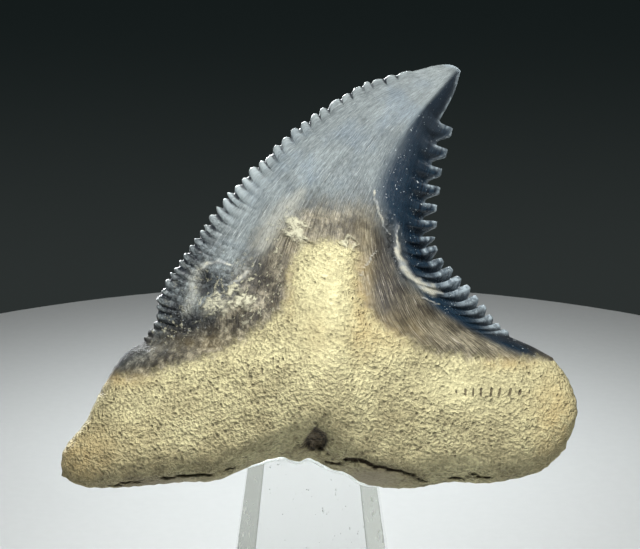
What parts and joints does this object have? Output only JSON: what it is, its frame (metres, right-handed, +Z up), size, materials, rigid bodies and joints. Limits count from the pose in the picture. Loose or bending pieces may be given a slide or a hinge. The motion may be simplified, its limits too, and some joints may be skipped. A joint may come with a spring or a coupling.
{
  "type": "fossil shark tooth on a display stand",
  "caption": "Fossil shark tooth with a broad root and a hooked, serrated crown, leaning in the milled seat of a clear tapered acrylic post.",
  "frame": {"origin": "middle of the post's foot, on the surface that it stands on", "axes": "+Z up, -Y the way the tooth's inner face looks, +X to the right in front of it"},
  "size_m": [0.0345, 0.0177, 0.0597],
  "materials": {
    "fossil": "cream porous root, grey-blue satin enamel crown with dark edges",
    "clear_acrylic": "clear polished acrylic with lightly frosted chamfers"
  },
  "bodies": {
    "root": {"tooth": "fossil", "stand": "clear_acrylic"}
  },
  "joints": []
}
